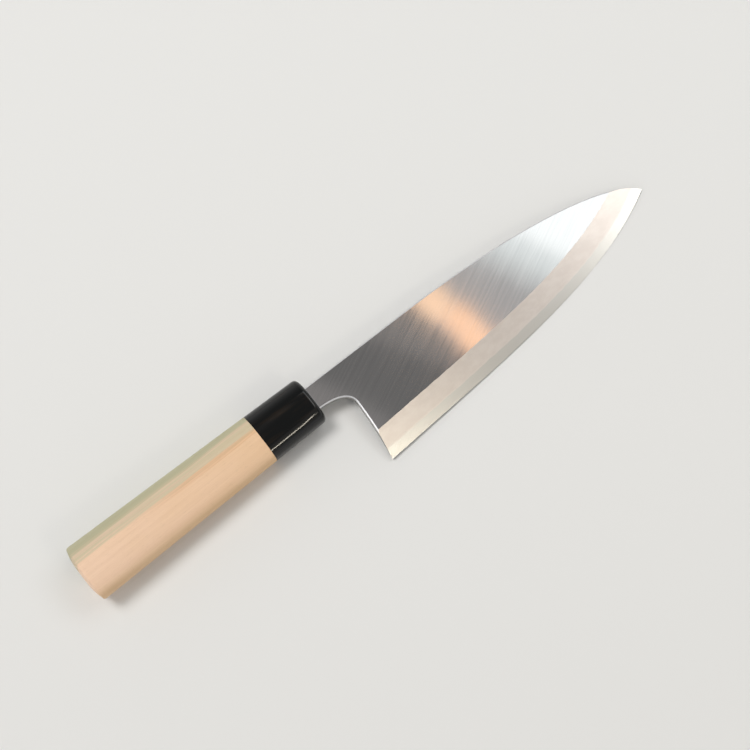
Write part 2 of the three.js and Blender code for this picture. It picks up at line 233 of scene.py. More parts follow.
class Graph(ShaderTree):
    """The node tree of one material, with the knife's axes at hand."""

    BROAD = (2.0, 0.55)  # detail and roughness of the noise of broad marks
    FINE = (2.0, 0.6)
    FINE_LENGTH = 3.0  # how many times shorter than the broad marks the fine ones are
    FINE_SPACING = 2.6  # and how many times closer
    BROAD_SHARE = 0.55

    def __init__(self, name: str, placement: Placement) -> None:
        """Starts a material with a Principled shader on its output.

        Args:
            name: Name of the material.
            placement: The knife's axes.
        """
        self.material = bpy.data.materials.new(name)
        self.material.use_nodes = True
        super().__init__(self.material.node_tree)
        self.shader = self.node("ShaderNodeBsdfPrincipled", {}, {})
        self.surface = self.node("ShaderNodeOutputMaterial", {}, {"Surface": self.shader.outputs["BSDF"]})
        place = self.node("ShaderNodeTexCoord", {}, {}).outputs["Object"]
        moved = self.node("ShaderNodeVectorMath", {"operation": "SUBTRACT"}, {0: place, 1: placement.origin})
        self.along = self._measure(moved, placement.along)
        self.across = self._measure(moved, placement.across)
        self.out = self._measure(moved, placement.out)

    def _measure(self, moved: bpy.types.Node, axis: Vector) -> Value:
        """Distance along an axis of the knife, in millimetres."""
        settings = {"operation": "DOT_PRODUCT"}
        return self.value("ShaderNodeVectorMath", settings, {0: moved.outputs[0], 1: axis / MM}, "Value")

    def pattern(self, given: Pattern) -> Value:
        """Noise of a pattern, about 0.5 in the middle."""
        place = self.vector(self.along / given.along, self.across / given.across, self.out / given.out)
        return self.noise(place, given.detail, given.roughness)

    def marks(self, angle: float, spacing: float, length: float) -> Value:
        """Grinding marks: broad and fine noise drawn out in one direction of the blade's plane.

        Args:
            angle: Degrees from the blade's length to the marks.
            spacing: Distance between the broad marks.
            length: How far a broad mark runs.

        Returns:
            A value from 0 to 1.
        """
        turn = math.radians(angle)
        run = self.along * math.cos(turn) + self.across * math.sin(turn)
        side = self.across * math.cos(turn) - self.along * math.sin(turn)
        depth = self.out / spacing
        coarse_place = self.vector(run / length, side / spacing, depth)
        fine_place = self.vector(run / length * self.FINE_LENGTH, side / spacing * self.FINE_SPACING, depth)
        broad, fine = self.noise(coarse_place, *self.BROAD), self.noise(fine_place, *self.FINE)
        return (broad * self.BROAD_SHARE + fine * (1.0 - self.BROAD_SHARE)).between(*CONTRAST)

    def feed(self, **sockets: Any) -> None:
        """Sets the shader's inputs; an underscore in a name stands for a space."""
        for name, given in sockets.items():
            self.plug(self.shader.inputs[name.replace("_", " ")], given)

    def fade(self, share: Value, radiance: float) -> None:
        """Turns the surface into plain light.

        Args:
            share: 0 where the shader shows and 1 where the light does.
            radiance: How bright the light is.
        """
        light = self.node("ShaderNodeEmission", {}, {"Color": (radiance, radiance, radiance)})
        sockets = {0: share, 1: self.shader.outputs["BSDF"], 2: light.outputs[0]}
        mixed = self.node("ShaderNodeMixShader", {}, sockets)
        self.plug(self.surface.inputs["Surface"], mixed.outputs[0])

    def bump(self, height: Value, depth: float) -> None:
        """Gives the surface a relief of a depth in millimetres."""
        made = self.node("ShaderNodeBump", {}, {"Height": height, "Distance": depth * MM, "Strength": 1.0})
        self.feed(Normal=made.outputs[0])


class Finish(ABC):
    """A finish of one of the knife's surfaces, made as one material."""

    name: str

    def make(self, placement: Placement) -> bpy.types.Material:
        """Makes the material.

        Args:
            placement: The knife's axes.

        Returns:
            The material.
        """
        graph = Graph(self.name, placement)
        self.paint(graph)
        return graph.material

    @abstractmethod
    def paint(self, graph: Graph) -> None:
        """Fills the material's graph."""


@dataclass(frozen=True)
class GroundSteel(Finish):
    """Steel with grinding marks in one direction."""

    name: str
    color: Color
    roughness: float
    angle: float  # degrees from the blade's length to the marks
    shade: float = 0.05  # how much darker the marks are
    spacing: float = 1.1  # between the broad marks
    length: float = 70.0
    slope: float = 0.0012  # steepness of the marks' sides
    wander: float = 0.02  # how much the roughness wanders
    haze: Pattern = Pattern(14.0, 14.0, 14.0)

    def paint(self, graph: Graph) -> None:
        """Draws the marks and a haze in the roughness.

        Args:
            graph: The material's graph.
        """
        marks = graph.marks(self.angle, self.spacing, self.length)
        haze = graph.pattern(self.haze)
        dark = tuple(part * (1.0 - 2.0 * self.shade) for part in self.color)
        graph.feed(
            Base_Color=graph.mix(marks, dark, self.color),
            Roughness=self.roughness + (marks - 0.5) * self.wander + (haze - 0.5) * self.wander,
            Metallic=1.0,
        )
        graph.bump(marks, self.slope * self.spacing)


@dataclass(frozen=True)
class StoneBevel(Finish):
    """The bevel as the whetstone leaves it: misty iron over a strip of clearer hard steel."""

    name: str = "stone_bevel"
    iron: Color = (0.78, 0.715, 0.665)
    mist: Color = (0.83, 0.77, 0.72)
    hard: Color = (0.735, 0.725, 0.685)
    line: Color = (0.86, 0.82, 0.77)
    iron_roughness: float = 0.37
    hard_roughness: float = 0.31
    wander: float = 0.03  # how much the roughness wanders
    back: float = -2.5  # height of the flat back
    land: float = 0.2  # height of the blunt edge
    neck_thickness: float = 5.0
    tip_thickness: float = 2.2
    tip_along: float = 191.9
    strip_share: float = 4.6 / 14.0  # the strip's share of the bevel
    wave: Pattern = Pattern(9.0, FAR, FAR, 3.0, 0.6)
    wave_reach: float = 0.09  # how far the strip's border wanders, as a share of the bevel
    border: float = 0.012  # half the border's softness
    line_reach: float = 0.07  # how far the bright line beside the border fades out
    line_share: float = 0.5
    cloud: Pattern = Pattern(7.0, 4.0, FAR, 3.0, 0.6)
    misty: Span = (0.35, 0.7)
    angle: float = 76.0  # degrees from the blade's length to the stone's marks
    spacing: float = 1.1
    length: float = 9.0
    relief: float = 0.0035

    def paint(self, graph: Graph) -> None:
        """Draws the misty iron, the strip of hard steel and the line between them.

        Args:
            graph: The material's graph.
        """
        taper = (self.tip_thickness - self.neck_thickness) / self.tip_along
        full = graph.along * taper + (self.neck_thickness - self.land)
        share = (graph.out - (self.back + self.land)) / full
        over = share - self.strip_share - (graph.pattern(self.wave) - 0.5) * self.wave_reach
        body = over.between(-self.border, self.border)
        seam = body * over.between(self.line_reach, self.border)
        marks = graph.marks(self.angle, self.spacing, self.length)
        misty = graph.mix(graph.pattern(self.cloud).between(*self.misty), self.iron, self.mist)
        plain = graph.mix(body, self.hard, misty)
        rougher = self.iron_roughness - self.hard_roughness
        graph.feed(
            Base_Color=graph.mix(seam * self.line_share, plain, self.line),
            Roughness=self.hard_roughness + body * rougher + (marks - 0.5) * self.wander,
            Metallic=1.0,
        )
        graph.bump(marks, self.relief)


@dataclass(frozen=True)
class ForgeScale(Finish):
    """Dark scale left on the tang by the forge."""

    name: str = "forge_scale"
    color: Color = (0.07, 0.065, 0.06)
    bare: Color = (0.22, 0.2, 0.18)
    spots: Pattern = Pattern(3.0, 2.0, 2.0, 4.0, 0.65)
    worn_and_painted_shade: Span = (0.55, 0.75)
    roughness: float = 0.75
    gloss: float = 0.25  # how much smoother the bare spots are
    metallic: float = 0.7
    relief: float = 0.05

    def paint(self, graph: Graph) -> None:
        """Draws the scale and its bare spots.

        Args:
            graph: The material's graph.
        """
        spots = graph.pattern(self.spots)
        graph.feed(
            Base_Color=graph.mix(spots.between(*self.worn_and_painted_shade), self.color, self.bare),
            Roughness=self.roughness - spots * self.gloss,
            Metallic=self.metallic,
        )
        graph.bump(spots, self.relief)


@dataclass(frozen=True)
class MagnoliaWood(Finish):
    """Pale close-grained wood with a tan and olive heart towards the spine."""

    name: str = "magnolia_wood"
    pale: Color = (0.93, 0.668, 0.49)  # sap wood at the butt
    warm: Color = (0.86, 0.592, 0.372)  # sap wood at the ferrule
    warming: Span = (-148.0, 0.5)  # where along the grip the one turns into the other
    band: Color = (0.93, 0.90, 0.87)  # shade of the late wood, as a share of the colour under it
    tan: Color = (0.625, 0.535, 0.37)
    rosy: Color = (0.68, 0.53, 0.385)  # streaks in the tan wood
    rosy_span: Span = (0.45, 0.6)
    olive: Color = (0.46, 0.44, 0.295)
    seam: Color = (0.90, 0.84, 0.77)  # the line where heart and sap wood meet, as a share
    seam_along: Span = (-105.0, -60.0)  # where along the grip the line comes out
    seam_rise: Span = (2.6, 0.6)  # the line's sides, from the tan wood's radius
    seam_fall: Span = (-1.2, 0.6)
    pore: Color = (0.47, 0.31, 0.18)
    pore_share: float = 0.3
    painted_low_side_shade: Color = (0.80, 0.77, 0.60)  # painted shade on the lower, edge side, as a share of the colour under it
    painted_shade_across: Span = (-8.5, -14.0)
    painted_shade_share: float = 0.8
    pith_across: float = 71.5
    pith_out: float = -30.0
    pith_lean: float = 0.0122  # how far the pith leans across for each millimetre along
    tan_radius: float = 77.1
    tan_border: float = 1.4
    olive_radius: float = 72.2
    olive_border: float = 1.6
    ring_width: float = 2.6
    drift: Pattern = Pattern(60.0, 16.0, 16.0)
    drift_reach: float = 3.0  # how far the rings wander
    fibre: Pattern = Pattern(22.0, 0.45, 0.45, 3.0, 0.6)
    cloud: Pattern = Pattern(14.0, 7.0, 7.0)
    cloud_reach: float = 0.5  # how much the sap wood's colour wanders
    pores: Pattern = Pattern(2.2, 0.16, 0.16, 1.0)
    pore_span: Span = (0.66, 0.74)
    streaks: Pattern = Pattern(70.0, 0.8, FAR, 2.0, 0.6)  # along the grip, and from ring to ring
    fray: float = 3.6  # how far streaks reach over a border
    grain_shares: tuple[float, float, float] = (0.3, 0.45, 0.25)  # of rings, fibres and streaks
    roughness: float = 0.62
    fibre_gloss: float = 0.12
    pore_dullness: float = 0.1
    specular: float = 0.35
    relief: float = 0.03
    relief_shares: tuple[float, float, float] = (0.5, 0.2, -0.5)  # of fibres, grain and pores

    def paint(self, graph: Graph) -> None:
        """Draws the rings, the fibres and the pores over heart and sap wood, and paints shade on the lower
        side.

        Args:
            graph: The material's graph.
        """
        side = graph.across - self.pith_across - graph.along * self.pith_lean
        drift = (graph.pattern(self.drift) - 0.5) * self.drift_reach
        radius = side.length_with(graph.out - self.pith_out) + drift
        rings = (radius * (2.0 * math.pi / self.ring_width)).wave() * 0.5 + 0.5
        line = graph.vector(graph.along / self.streaks.along, radius / self.streaks.across, 0.0)
        streak = graph.noise(line, self.streaks.detail, self.streaks.roughness)
        fibre = graph.pattern(self.fibre)
        pores = graph.pattern(self.pores).between(*self.pore_span)
        body = self._heart_and_sap(graph, radius, streak)
        ring_share, fibre_share, streak_share = self.grain_shares
        lines = fibre.between(*CONTRAST) * fibre_share + streak.between(*CONTRAST) * streak_share
        grain = rings * ring_share + lines
        timber = graph.mix(1.0 - grain, body, graph.shade(body, self.band))
        # painted shade: the wood is made darker towards the lower, edge side, where the light falls off
        painted_shade_mask = graph.across.between(*self.painted_shade_across) * self.painted_shade_share
        worn_and_painted_shade = graph.mix(painted_shade_mask, timber, graph.shade(timber, self.painted_low_side_shade))
        graph.feed(
            Base_Color=graph.mix(pores * self.pore_share, worn_and_painted_shade, self.pore),
            Roughness=self.roughness - fibre * self.fibre_gloss + pores * self.pore_dullness,
            Specular_IOR_Level=self.specular,
        )
        fibre_rise, grain_rise, pore_rise = self.relief_shares
        graph.bump(fibre * fibre_rise + grain * grain_rise + pores * pore_rise, self.relief)

    def _heart_and_sap(self, graph: Graph, radius: Value, streak: Value) -> bpy.types.NodeSocket:
        """The colours of sap wood, tan wood and olive heart, with the line where they meet.

        Args:
            graph: The material's graph.
            radius: Distance from the pith.
            streak: Noise along the rings.

        Returns:
            The colour.
        """
        frayed = radius + (streak - 0.5) * self.fray
        toward = graph.along.between(*self.warming) + (graph.pattern(self.cloud) - 0.5) * self.cloud_reach
        sap = graph.mix(toward, self.pale, self.warm)
        light = graph.mix(streak.between(*self.rosy_span), self.tan, self.rosy)
        olive, tan = self.olive_radius, self.tan_radius
        deep = frayed.between(olive + self.olive_border, olive - self.olive_border)
        inner = frayed.between(tan + self.tan_border, tan - self.tan_border)
        body = graph.mix(inner, sap, graph.mix(deep, light, self.olive))
        rise, fall = [frayed.between(tan + a, tan + b) for a, b in (self.seam_rise, self.seam_fall)]
        meeting = rise * fall * graph.along.between(*self.seam_along)
        return graph.mix(meeting, body, graph.shade(body, self.seam))


@dataclass(frozen=True)
class PolishedHorn(Finish):
    """Black horn, polished, with faint brown streaks along it."""

    name: str = "polished_horn"
    black: Color = (0.0022, 0.0026, 0.0026)
    brown: Color = (0.018, 0.011, 0.006)
    streaks: Pattern = Pattern(26.0, 2.2, 2.2, 3.0, 0.6)
    streaky: Span = (0.5, 0.8)
    rub: Pattern = Pattern(0.5, 4.0, 4.0)  # faint marks of the polishing
    roughness: float = 0.10
    wander: float = 0.06  # how much the roughness wanders
    specular: float = 0.45
    relief: float = 0.002

    def paint(self, graph: Graph) -> None:
        """Draws the streaks and the marks of the polishing.

        Args:
            graph: The material's graph.
        """
        streaks, rub = graph.pattern(self.streaks), graph.pattern(self.rub)
        graph.feed(
            Base_Color=graph.mix(streaks.between(*self.streaky), self.black, self.brown),
            Roughness=self.roughness + (rub - 0.5) * self.wander,
            Specular_IOR_Level=self.specular,
        )
        graph.bump(rub, self.relief)


@dataclass(frozen=True)
class SealResin(Finish):
    """Dark resin that closes the ferrule's mouth."""

    name: str = "seal_resin"
    color: Color = (0.035, 0.026, 0.020)
    worn_and_painted_shade: Color = (0.09, 0.07, 0.055)
    lumps: Pattern = Pattern(1.2, 1.2, 1.2, 3.0)
    worn_span: Span = (0.5, 0.8)
    roughness: float = 0.55
    gloss: float = 0.2  # how much smoother the tops of the lumps are
    relief: float = 0.12

    def paint(self, graph: Graph) -> None:
        """Draws the lumps.

        Args:
            graph: The material's graph.
        """
        lumps = graph.pattern(self.lumps)
        graph.feed(
            Base_Color=graph.mix(lumps.between(*self.worn_span), self.color, self.worn_and_painted_shade),
            Roughness=self.roughness - lumps * self.gloss,
        )
        graph.bump(lumps, self.relief)


@dataclass(frozen=True)
class Piece:
    """A piece of the knife: its name, the solid that it stands for and the record's material slot."""

    name: str
    node: str
    slot: str

    def settle(self, shape: bmesh.types.BMesh, materials: Sequence[bpy.types.Material]) -> None:
        """Turns a finished shape, in the frame's metres, into the piece on its body.

        Args:
            shape: The shape, which is freed.
            materials: Its materials, in the order of their face indices.
        """
        mesh = bpy.data.meshes.new(self.name)
        shape.to_mesh(mesh)
        shape.free()
        for material in materials:
            mesh.materials.append(material)
        piece = bpy.data.objects.new(self.name, mesh)
        bpy.context.scene.collection.objects.link(piece)
        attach(piece, BODY)
        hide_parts(self.node)
        log.info("%s: %d faces, for %s", self.name, len(mesh.polygons), self.node)


class BladeZone(Enum):
    """The faces of the blade, each with its own grind; the values are their material indices."""

    FLAT = 0
    BEVEL = 1
    CORNER = 2
    WALL = 3
    RIM = 4
    HOLLOW = 5
    TANG = 6


def blade_finishes() -> dict[BladeZone, Finish]:
    """The finish of each of the blade's faces."""
    return {
        BladeZone.FLAT: GroundSteel("flat_iron", (0.60, 0.588, 0.58), 0.08, 25.0),
        BladeZone.BEVEL: StoneBevel(),
        BladeZone.CORNER: GroundSteel("corner_iron", (0.78, 0.78, 0.79), 0.3, 0.0),
        BladeZone.WALL: GroundSteel("wall_iron", (0.46, 0.45, 0.44), 0.4, 0.0),
        BladeZone.RIM: GroundSteel("back_rim", (0.72, 0.71, 0.70), 0.2, 15.0, 0.03),
        BladeZone.HOLLOW: GroundSteel("back_hollow", (0.58, 0.57, 0.56), 0.33, 82.0),
        BladeZone.TANG: ForgeScale(),
    }


@dataclass
class Blade:
    """The laminated blade: an iron body with neck and tang, and the hard layer that makes the edge."""

    placement: Placement
    body: Piece = Piece("iron_body", "jigane_body", "soft_iron")
    edge: Piece = Piece("hard_edge", "hagane_edge", "hard_steel")
    finishes: dict[BladeZone, Finish] = field(default_factory=blade_finishes)
    tang_end: float = -5.99  # faces further back belong to the tang
    back: float = -2.5  # height of the flat back
    flat_lean: float = math.atan2(2.8, 191.9)  # the flat side falls from neck to tip
    weld_gap: float = 0.1
    weld_match: float = 0.9995  # how straight out a face of the weld looks
    weld_turn: float = 0.001  # how little it looks across
    flat_match: float = 0.9999
    corner_low: float = 0.3  # corners look out by this much
    corner_high: float = 0.9  # and by less than this
    hollow_lift: float = 0.002
    crisp: float = 20.0  # degrees from which an edge inside a zone stays sharp
    merge: float = 1e-6  # metres within which a copy's corners are one
    plane: float = 0.02  # degrees within which a copy's triangles are one face

    def _zone(self, face: bmesh.types.BMFace) -> BladeZone:
        """The zone of a face, by where it looks and lies.

        Args:
            face: The face.

        Returns:
            The zone.
        """
        normal = self.placement.turn_back(face.normal)
        middle = self.placement.inverse @ face.calc_center_median()
        flat = Vector((math.sin(self.flat_lean), 0.0, math.cos(self.flat_lean)))
        if middle.x < self.tang_end:
            return BladeZone.TANG
        if normal.dot(flat) > self.flat_match:
            return BladeZone.FLAT
        if normal.z > self.corner_high:
            return BladeZone.BEVEL
        if normal.z > self.corner_low:
            return BladeZone.CORNER
        if normal.z > -self.corner_high:
            return BladeZone.WALL
        if middle.z > self.back + self.hollow_lift:
            return BladeZone.HOLLOW
        return BladeZone.RIM

    def _copy(self, node: str) -> bmesh.types.BMesh:
        """A merged copy of a solid's mesh.

        Args:
            node: Name of the solid.

        Returns:
            The copy.
        """
        shape = bmesh.new()
        shape.from_mesh(frame["nodes"][node].data)
        bmesh.ops.remove_doubles(shape, verts=shape.verts, dist=self.merge)
        limit = math.radians(self.plane)
        bmesh.ops.dissolve_limit(shape, angle_limit=limit, verts=shape.verts, edges=shape.edges)
        return shape

    def _is_weld(self, face: bmesh.types.BMFace) -> bool:
        """Whether a face of the hard layer lies against the body."""
        normal = self.placement.turn_back(face.normal)
        return normal.z > self.weld_match and normal.x > 0.0 and abs(normal.y) < self.weld_turn

    def _close_weld(self, shape: bmesh.types.BMesh) -> None:
        """Grows the hard layer up to the body, along the bevel and the walls where it shows.

        Args:
            shape: The hard layer.
        """
        shape.normal_update()
        top = [face for face in shape.faces if self._is_weld(face)]
        grown: dict[bmesh.types.BMVert, Vector] = {}
        for face in top:
            for vert in face.verts:
                beside = [f for f in vert.link_faces if f not in top]
                slopes = [f.normal for f in beside if self._zone(f) is BladeZone.BEVEL]
                walls = [f.normal for f in beside if self._zone(f) is BladeZone.WALL]
                run = face.normal
                if slopes and walls:
                    run = sum(slopes, Vector()).cross(sum(walls, Vector())).normalized()
                elif slopes:
                    slope = sum(slopes, Vector()).normalized()
                    run = face.normal - slope * slope.dot(face.normal)
                grown[vert] = run * (self.weld_gap * MM / run.dot(face.normal))
        for vert, move in grown.items():
            vert.co += move

    def _dress(self, shape: bmesh.types.BMesh) -> None:
        """Gives each face its zone's material and keeps the lines between zones crisp.

        Args:
            shape: The shape of a piece.
        """
        for face in shape.faces:
            face.material_index = self._zone(face).value
            face.smooth = True
        for edge in shape.edges:
            zones = {face.material_index for face in edge.link_faces}
            edge.smooth = len(zones) == 1 and edge.calc_face_angle(math.pi) < math.radians(self.crisp)

    def build(self) -> None:
        """Builds the body and the hard layer."""
        materials = [self.finishes[zone].make(self.placement) for zone in BladeZone]
        body, edge = self._copy(self.body.node), self._copy(self.edge.node)
        self._close_weld(edge)
        for piece, shape in ((self.body, body), (self.edge, edge)):
            self._dress(shape)
            piece.settle(shape, materials)


@dataclass
class Handle:
    """The wooden grip, the horn ferrule on its tenon and the resin round the neck."""

    placement: Placement
    grip: Piece = Piece("wood_grip", "handle_grip", "magnolia_wood")
    ferrule: Piece = Piece("horn_collar", "horn_ferrule", "horn")
    seal: Piece = Piece("neck_seal", "tang_seal", "resin")
    wood: Finish = MagnoliaWood()
    horn: Finish = PolishedHorn()
    resin: Finish = SealResin()
    length: float = 128.0
    ferrule_length: float = 29.5
    butt_height: float = 28.2
    butt_thickness: float = 21.0
    front_height: float = 24.0
    front_thickness: float = 17.6
    butt_ridge: float = 4.3  # the ridge above the axis
    front_ridge: float = 3.9
    spine_rise: float = 0.62  # pulls of the section's curves, as shares of its half height and thickness
    spine_shoulder: tuple[float, float] = (0.45, 0.86)
    edge_shoulder: tuple[float, float] = (0.55, 0.94)
    edge_rise: float = 0.8
    oval_pull: float = 0.5523
    butt_dome: float = 1.3
    butt_round: float = 1.2
    dome_inset: float = 0.42  # how far the dome's steps reach in, as a share of the thickness
    rim_round: float = 2.2
    tenon_diameter: float = 13.6
    tenon_length: float = 18.0
    fit: float = 0.2
    seam: float = 0.1
    neck_height: float = 11.8
    neck_thickness: float = 5.0
    neck_middle: float = -0.15
    neck_inset: float = 6.0
    seal_depth: float = 3.0
    seal_margin: float = 1.4
    seal_sink: float = 0.3
    tang_length: float = 92.0
    tang_root: tuple[float, float] = (9.5, 4.2)
    tang_end: tuple[float, float] = (4.5, 2.2)
    section_steps: int = 20  # points on a quarter of a section
    round_steps: int = 6
    grip_steps: int = 8  # loops along a straight side
    ferrule_steps: int = 3
    crisp: float = 24.0  # degrees from which an edge stays sharp
    seal_crisp: float = 40.0
    merge: float = 1e-4  # millimetres within which corners are one

    def _outside(self, x: float, inset: float = 0.0) -> Stop:
        """The handle's outside at a place along it.

        Args:
            x: The place.
            inset: How far the loop lies inside the outside.

        Returns:
            The place with the loop's height and thickness.
        """
        share = (x + self.length) / self.length
        height = self.butt_height + (self.front_height - self.butt_height) * share
        thickness = self.butt_thickness + (self.front_thickness - self.butt_thickness) * share
        return x, height - 2.0 * inset, thickness - 2.0 * inset

    def _tang_bore(self, x: float) -> Stop:
        """The bore of the tapered tang at a place along the handle.

        Args:
            x: The place.

        Returns:
            The place with the bore's height and thickness.
        """
        start, end = -self.neck_inset / 2.0, -self.tang_length - self.fit
        share = (x - start) / (end - start)
        height, thickness = [a + (b - a) * share for a, b in zip(self.tang_root, self.tang_end)]
        return x, height + 2.0 * self.fit, thickness + 2.0 * self.fit

    def _neck(self, x: float, margin: float) -> Stop:
        """A place with the height and thickness that clear the neck by a margin."""
        return x, self.neck_height + 2.0 * margin, self.neck_thickness + 2.0 * margin

    def _side(self, start: float, end: float, steps: int) -> list[Stop]:
        """Stops on a straight side of the handle, from its start to its end."""
        return [self._outside(start + (end - start) * step / steps) for step in range(steps + 1)]

    def _rounding(self, start: float, radius: float) -> list[Stop]:
        """Stops round a quarter circle at an end of the handle.

        Args:
            start: Where the rounding starts.
            radius: Its radius, below 0 where it runs towards the butt.

        Returns:
            The stops after the start.
        """
        turns = [math.pi / 2.0 * step / self.round_steps for step in range(1, self.round_steps + 1)]
        inset = abs(radius)
        return [self._outside(start + radius * math.sin(t), inset * (1.0 - math.cos(t))) for t in turns]

    def _dome(self) -> list[Stop]:
        """Stops on the butt's shallow dome, from its rounding inwards."""
        reach = self.butt_thickness * self.dome_inset - self.butt_round
        shares = [step / self.round_steps for step in range(1, self.round_steps + 1)]
        return [
            self._outside(self.butt_dome * (1.0 - share) ** 2 - self.length, self.butt_round + reach * share)
            for share in shares
        ]

    def _loop(self, shape: bmesh.types.BMesh, points: Iterable[Vector]) -> Edges:
        """A closed loop of edges through points."""
        verts = [shape.verts.new(point) for point in points]
        return [shape.edges.new((a, b)) for a, b in zip(verts, verts[1:] + verts[:1])]

    def _section(self, shape: bmesh.types.BMesh, x: float) -> Edges:
        """The D section: a ridge on the bevelled face's side, an oval on the other.

        Args:
            shape: The shape that takes the loop.
            x: Its place along the handle.

        Returns:
            The loop's edges.
        """
        _, height, thickness = self._outside(x)
        h, t, pull = height / 2.0, thickness / 2.0, self.oval_pull
        ridge = self.front_ridge + (self.front_ridge - self.butt_ridge) * x / self.length
        shoulder = (ridge + (h - ridge) * self.spine_shoulder[0], t * self.spine_shoulder[1])
        slope = (-h * self.edge_shoulder[0], t * self.edge_shoulder[1])
        curves = [
            [(h, 0.0), (h, t * self.spine_rise), shoulder, (ridge, t)],
            [(ridge, t), slope, (-h, t * self.edge_rise), (-h, 0.0)],
            [(-h, 0.0), (-h, -t * pull), (-h * pull, -t), (0.0, -t)],
            [(0.0, -t), (h * pull, -t), (h, -t * pull), (h, 0.0)],
        ]
        points: list[Vector] = []
        for curve in curves:
            knots = [Vector((x, y, z)) for y, z in curve]
            points += interpolate_bezier(*knots, self.section_steps)[:-1]
        return self._loop(shape, points)

    def _block(self, shape: bmesh.types.BMesh, stop: Stop) -> Edges:
        """A rectangular loop round the neck's middle.

        Args:
            shape: The shape that takes the loop.
            stop: The loop's place, height and thickness.

        Returns:
            The loop's edges.
        """
        x, height, thickness = stop
        sides = [(1, 1), (-1, 1), (-1, -1), (1, -1)]
        return self._loop(
            shape, [Vector((x, self.neck_middle + s * height / 2.0, f * thickness / 2.0)) for s, f in sides]
        )

    def _round(self, shape: bmesh.types.BMesh, x: float, diameter: float) -> Edges:
        """A round loop about the handle's axis.

        Args:
            shape: The shape that takes the loop.
            x: Its place along the handle.
            diameter: Its diameter.

        Returns:
            The loop's edges.
        """
        turn = Matrix.Translation((x, 0.0, 0.0)) @ Matrix.Rotation(math.pi / 2.0, 4, "Y")
        segments = 4 * self.section_steps
        made = bmesh.ops.create_circle(shape, segments=segments, radius=diameter / 2.0, matrix=turn)
        return list(dict.fromkeys(edge for vert in made["verts"] for edge in vert.link_edges))

    @staticmethod
    def _draw(
        shape: bmesh.types.BMesh,
        loop: Edges,
        x: float,
        scale: tuple[float, float] = (1.0, 1.0),
        middle: float = 0.0,
    ) -> Edges:
        """Extrudes a loop to another place along the handle.

        Args:
            shape: The shape that holds the loop.
            loop: The loop's edges.
            x: Where the new loop lies.
            scale: How much the loop grows across and out.
            middle: Height about which it grows.

        Returns:
            The new loop's edges.
        """
        made = bmesh.ops.extrude_edge_only(shape, edges=loop)["geom"]
        verts = [v for v in made if isinstance(v, bmesh.types.BMVert)]
        for vert in verts:
            vert.co = (x, middle + (vert.co.y - middle) * scale[0], vert.co.z * scale[1])
        return [e for e in made if isinstance(e, bmesh.types.BMEdge) and all(v in verts for v in e.verts)]

    def _run(self, shape: bmesh.types.BMesh, loop: Edges, stops: Sequence[Stop], middle: float = 0.0) -> Edges:
        """Extrudes a loop through stops along the handle.

        Args:
            shape: The shape that holds the loop.
            loop: The loop's edges.
            stops: The loop's own stop, then those of the loops that follow it.
            middle: Height about which the loops grow.

        Returns:
            The last loop's edges.
        """
        for (_, height, thickness), (x, next_height, next_thickness) in zip(stops, stops[1:]):
            scale = (next_height / height, next_thickness / thickness)
            loop = self._draw(shape, loop, x, scale, middle)
        return loop

    @staticmethod
    def _ring(shape: bmesh.types.BMesh, outer: Edges, inner: Edges) -> None:
        """Fills the flat ring between two loops at one place along the handle."""
        bmesh.ops.triangle_fill(shape, edges=outer + inner, use_beauty=True, normal=(1.0, 0.0, 0.0))

    def _complete(self, shape: bmesh.types.BMesh, crisp: float) -> bmesh.types.BMesh:
        """Points the faces outwards, smooths them and moves the shape to its place.

        Args:
            shape: The shape, in the knife's axes.
            crisp: Degrees from which an edge stays sharp.

        Returns:
            The same shape, in the frame's metres.
        """
        bmesh.ops.remove_doubles(shape, verts=shape.verts, dist=self.merge)
        bmesh.ops.recalc_face_normals(shape, faces=shape.faces)
        for face in shape.faces:
            face.smooth = True
        for edge in shape.edges:
            edge.smooth = edge.calc_face_angle(math.pi) < math.radians(crisp)
        bmesh.ops.transform(shape, matrix=self.placement.matrix, verts=shape.verts)
        return shape

    def _make_grip(self) -> bmesh.types.BMesh:
        """The grip with its domed butt, its tenon and the tang's bore.

        Returns:
            The shape.
        """
        shape = bmesh.new()
        front, tip = -self.ferrule_length - self.seam, self.tenon_length - self.ferrule_length
        side_end = self.butt_dome + self.butt_round - self.length
        section = self._section(shape, front)
        outside = self._side(front, side_end, self.grip_steps) + self._rounding(side_end, -self.butt_round)
        bmesh.ops.edgeloop_fill(shape, edges=self._run(shape, section, outside + self._dome()))
        tenon = self._round(shape, front, self.tenon_diameter)
        self._ring(shape, section, tenon)
        bore = [self._tang_bore(x) for x in (tip, -self.tang_length - self.fit)]
        mouth = self._block(shape, bore[0])
        self._ring(shape, self._draw(shape, tenon, tip), mouth)
        bmesh.ops.edgeloop_fill(shape, edges=self._run(shape, mouth, bore, self.neck_middle))
        return self._complete(shape, self.crisp)

    def _make_ferrule(self) -> bmesh.types.BMesh:
        """The ferrule with its rounded rim, the seal's seat, the neck's slot and the tenon's socket.

        Returns:
            The shape.
        """
        shape = bmesh.new()
        back, floor = -self.ferrule_length, -self.neck_inset - self.fit
        deep = self.tenon_length - self.ferrule_length + self.fit
        section = self._section(shape, back)
        outside = self._side(back, -self.rim_round, self.ferrule_steps)
        front = self._run(shape, section, outside + self._rounding(-self.rim_round, self.rim_round))
        inside = [
            self._neck(0.0, self.seal_margin),
            self._neck(-self.seal_depth, self.seal_margin),
            self._neck(-self.seal_depth, self.fit),
            self._neck(floor, self.fit),
            self._tang_bore(floor),
            self._tang_bore(deep),
        ]
        lip = self._block(shape, inside[0])
        self._ring(shape, front, lip)
        socket = self._round(shape, deep, self.tenon_diameter + 2.0 * self.fit)
        self._ring(shape, socket, self._run(shape, lip, inside, self.neck_middle))
        self._ring(shape, section, self._draw(shape, socket, back))
        return self._complete(shape, self.crisp)

